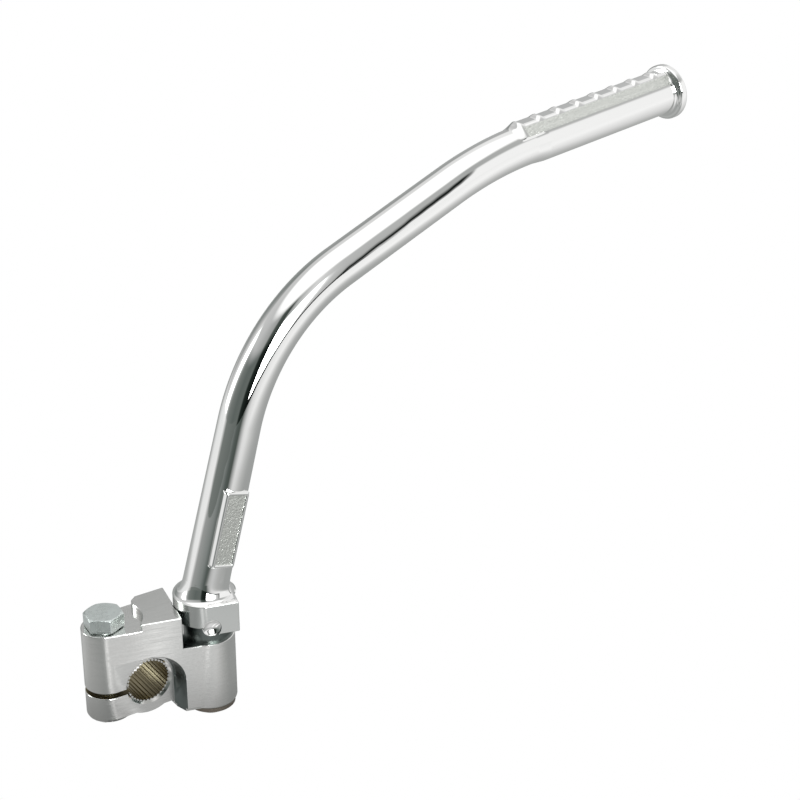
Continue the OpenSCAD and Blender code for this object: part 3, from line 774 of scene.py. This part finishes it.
WALLS = [
    (-180, 0.50), (-165, 0.62), (-150, 0.78),              # back wall, in its own shade
    (-138, 0.95), (-118, 0.94),                            # lamp on the left
    (-109, 0.56), (-100, 0.46), (-72, 0.38), (-50, 0.40),  # open side of the tent
    (-44, 0.14), (-24, 0.06),                              # photographer and camera
    (-21, 0.98), (12, 0.98),                               # lamp on the right
    (18, 0.76), (26, 0.68), (27.5, 0.10), (30.5, 0.10),    # edge and seam of the tent
    (32, 0.96), (128, 0.94),                               # right wall
    (142, 0.72), (160, 0.62), (180, 0.50),
]
WALL_FOOT = [                                              # the lamp on the right stands on a dark rail
    (-180, 0.50), (-150, 0.78), (-138, 0.95), (-118, 0.94), (-100, 0.46), (-50, 0.40), (-44, 0.14),
    (-24, 0.06), (31, 0.10), (34, 0.96), (128, 0.94), (160, 0.62), (180, 0.50),
]
UPPER_WALLS = [
    (-180, 0.80), (-100, 0.74), (-52, 0.62), (-44, 0.30), (-28, 0.24), (-20, 0.66), (0, 0.84), (30, 0.66),
    (55, 0.70), (90, 0.92), (150, 0.92), (180, 0.80),
]
LAMPS = [
    (-137, 0.0), (-134, 0.55), (-122, 0.55), (-118, 0.0),
    (-23, 0.0), (-22, 1.0), (-18, 1.0), (-15, 0.5), (8, 0.5), (13, 0.0),   # its inner edge is hottest
]
LAMP_EXTRA = 20.0
ROOF_LEVEL = 1.1

axis = add_node(tree, "ShaderNodeSeparateXYZ",
                {"Vector": add_node(tree, "ShaderNodeTexCoord").outputs["Generated"]})
share = share_round(axis.outputs["X"], axis.outputs["Y"])
extra = add_node(tree, "ShaderNodeMixRGB", {"Color1": round_ramp(LAMPS, share)},
                 {"Fac": 1.0, "Color2": (LAMP_EXTRA,) * 3 + (1.0,)}, blend_type="MULTIPLY")
walls = add_node(tree, "ShaderNodeMixRGB",
                 {"Color1": round_ramp(WALLS, share), "Color2": extra.outputs["Color"]},
                 {"Fac": 1.0}, blend_type="ADD")


def rises(low, high):
    """Goes smoothly from 0 to 1 between two heights over the horizon, in degrees."""
    return add_node(tree, "ShaderNodeMapRange", {"Value": axis.outputs["Z"]},
                    {"From Min": np.sin(np.radians(low)), "From Max": np.sin(np.radians(high))},
                    interpolation_type="SMOOTHSTEP").outputs["Result"]


full = add_node(tree, "ShaderNodeMixRGB", {"Fac": rises(2.5, 3.5), "Color1": round_ramp(WALL_FOOT, share),
                                           "Color2": walls.outputs["Color"]})
tall = add_node(tree, "ShaderNodeMixRGB", {"Fac": rises(28, 38), "Color1": full.outputs["Color"],
                                           "Color2": round_ramp(UPPER_WALLS, share)})
tent = add_node(tree, "ShaderNodeMixRGB", {"Fac": rises(50, 60), "Color1": tall.outputs["Color"]},
                {"Color2": (ROOF_LEVEL,) * 3 + (1.0,)})
seen = add_node(tree, "ShaderNodeLightPath")
lit = add_node(tree, "ShaderNodeMixRGB",
               {"Fac": seen.outputs["Is Camera Ray"], "Color1": tent.outputs["Color"]},
               {"Color2": grey(1.0)})
light = add_node(tree, "ShaderNodeBackground", {"Color": lit.outputs["Color"]}, {"Strength": 1.0})
add_node(tree, "ShaderNodeOutputWorld", {"Surface": light.outputs["Background"]})
print("the tent has", len(WALLS), "stops")

# %% [markdown]
# The table is a glowing white sheet. The camera sees it burnt out to pure white, with no shadow. The
# steel sees its glow with painted light in it: painted shade right under the part, two painted streaks
# of lamp light close to it, grey a little further out, and bright far away, apart from the side where
# the tent is open and no light comes in. So there is a ramp round the part for each of the three distances.

# %% The table
table_white, tree, _ = new_material("glowing_sheet_with_painted_shade", "#FFFFFF", 0.0, 1.0)
tree.nodes.clear()
TABLE_NEAR = [
    (-180, 0.66), (-140, 0.70), (-100, 0.60), (-50, 0.56), (-25, 0.70), (0, 0.76), (25, 0.68), (60, 0.62),
    (110, 0.62), (180, 0.66),
]
TABLE_FAR = [
    (-180, 0.70), (-150, 0.90), (-115, 0.92), (-100, 0.60), (-60, 0.50), (-40, 0.34), (-26, 0.30),
    (-16, 0.62), (0, 0.86), (20, 0.92), (60, 0.97), (80, 0.86), (100, 0.70), (130, 0.60), (155, 0.58),
    (180, 0.64),
]
TABLE_CLOSE = [                                            # right under the part, with two painted streaks of lamp light at full white
    (-180, 0.66), (-140, 0.76), (-100, 0.68), (-50, 0.62), (-36, 0.66), (-33, 1.0), (-24, 1.0),
    (-21, 0.80), (-8, 0.84), (-5, 1.0), (0, 1.0), (3, 0.83), (25, 0.84), (45, 0.70), (60, 0.62),
    (110, 0.62), (180, 0.66),
]
CLOSE_MM = (110.0, 143.0)   # from the close ramp to the near one, mm from the bore
FAR_MM = (180.0, 460.0)     # from the near ramp to the far one
SHADE_MM = (28.0, 64.0)     # from the painted shade under the part to the full glow
SHADE = 0.68                # share of the glow left in the painted shade under the part
place = add_node(tree, "ShaderNodeSeparateXYZ",
                 {"Vector": add_node(tree, "ShaderNodeTexCoord").outputs["Object"]})
share = share_round(place.outputs["X"], place.outputs["Y"])
level_xy = add_node(tree, "ShaderNodeCombineXYZ", {"X": place.outputs["X"], "Y": place.outputs["Y"]})
distance = add_node(tree, "ShaderNodeVectorMath", {"Vector": level_xy.outputs["Vector"]},
                    operation="LENGTH")


def beyond(start_mm, end_mm, least=0.0):
    """Goes smoothly from least to 1 between two distances from the bore."""
    return add_node(tree, "ShaderNodeMapRange", {"Value": distance.outputs["Value"]},
                    {"From Min": start_mm * MM, "From Max": end_mm * MM, "To Min": least},
                    interpolation_type="SMOOTHSTEP").outputs["Result"]


around_part = add_node(tree, "ShaderNodeMixRGB",
                       {"Fac": beyond(*CLOSE_MM), "Color1": round_ramp(TABLE_CLOSE, share),
                        "Color2": round_ramp(TABLE_NEAR, share)})
# Painted shade: the glow is dimmed right under the part, as if the part shaded the sheet.
in_shade = add_node(tree, "ShaderNodeMixRGB",
                    {"Color1": around_part.outputs["Color"], "Color2": beyond(*SHADE_MM, least=SHADE)},
                    {"Fac": 1.0}, blend_type="MULTIPLY")
sheet_grey = add_node(tree, "ShaderNodeMixRGB",
                      {"Fac": beyond(*FAR_MM), "Color1": in_shade.outputs["Color"],
                       "Color2": round_ramp(TABLE_FAR, share)})
seen = add_node(tree, "ShaderNodeLightPath")
burnt = add_node(tree, "ShaderNodeMixRGB", {"Fac": seen.outputs["Is Camera Ray"],
                                            "Color1": sheet_grey.outputs["Color"]}, {"Color2": grey(1.0)})
glow = add_node(tree, "ShaderNodeEmission", {"Color": burnt.outputs["Color"]}, {"Strength": 1.0})
add_node(tree, "ShaderNodeOutputMaterial", {"Surface": glow.outputs["Emission"]})
table_z = cad_box[0][2] / MM - 0.3
half = 6000.0          # half of the sheet's length, mm
sheet = np.array([[-half, -half, table_z], [half, -half, table_z],
                  [half, half, table_z], [-half, half, table_z]])
mesh = bpy.data.meshes.new("table")
mesh.from_pydata((sheet * MM).tolist(), [], [[0, 1, 2, 3]])
mesh.materials.append(table_white)
table = bpy.data.objects.new("table", mesh)
bpy.context.collection.objects.link(table)
table.visible_shadow = False
print("table at", round(table_z, 1), "mm")

# %% [markdown]
# ## The camera
# The camera stands left of the front and looks down on the part, with a long lens. Its place comes
# from lining up the boss, the collar and the arm with the photograph.

# %% The camera
CAMERA_AT = np.array([-256.3, -547.7, 379.1])   # mm
CAMERA_TURN, CAMERA_DIP = np.radians(34.204), np.radians(24.338)
right = np.array([np.cos(CAMERA_TURN), -np.sin(CAMERA_TURN), 0])
ahead = np.array([np.sin(CAMERA_TURN) * np.cos(CAMERA_DIP), np.cos(CAMERA_TURN) * np.cos(CAMERA_DIP),
                  -np.sin(CAMERA_DIP)])
camera = bpy.data.objects.new("camera", bpy.data.cameras.new("camera"))
bpy.context.collection.objects.link(camera)
pose = np.eye(4)
pose[:3, :4] = np.stack([right, np.cross(right, ahead), -ahead, CAMERA_AT * MM], 1)
camera.matrix_world = Matrix(pose.tolist())
camera.data.sensor_width = 36.0
camera.data.lens = 85.88
camera.data.clip_end = 100.0
bpy.context.scene.camera = camera
bpy.context.scene.view_settings.view_transform = "Standard"
print("camera at", CAMERA_AT, "mm")
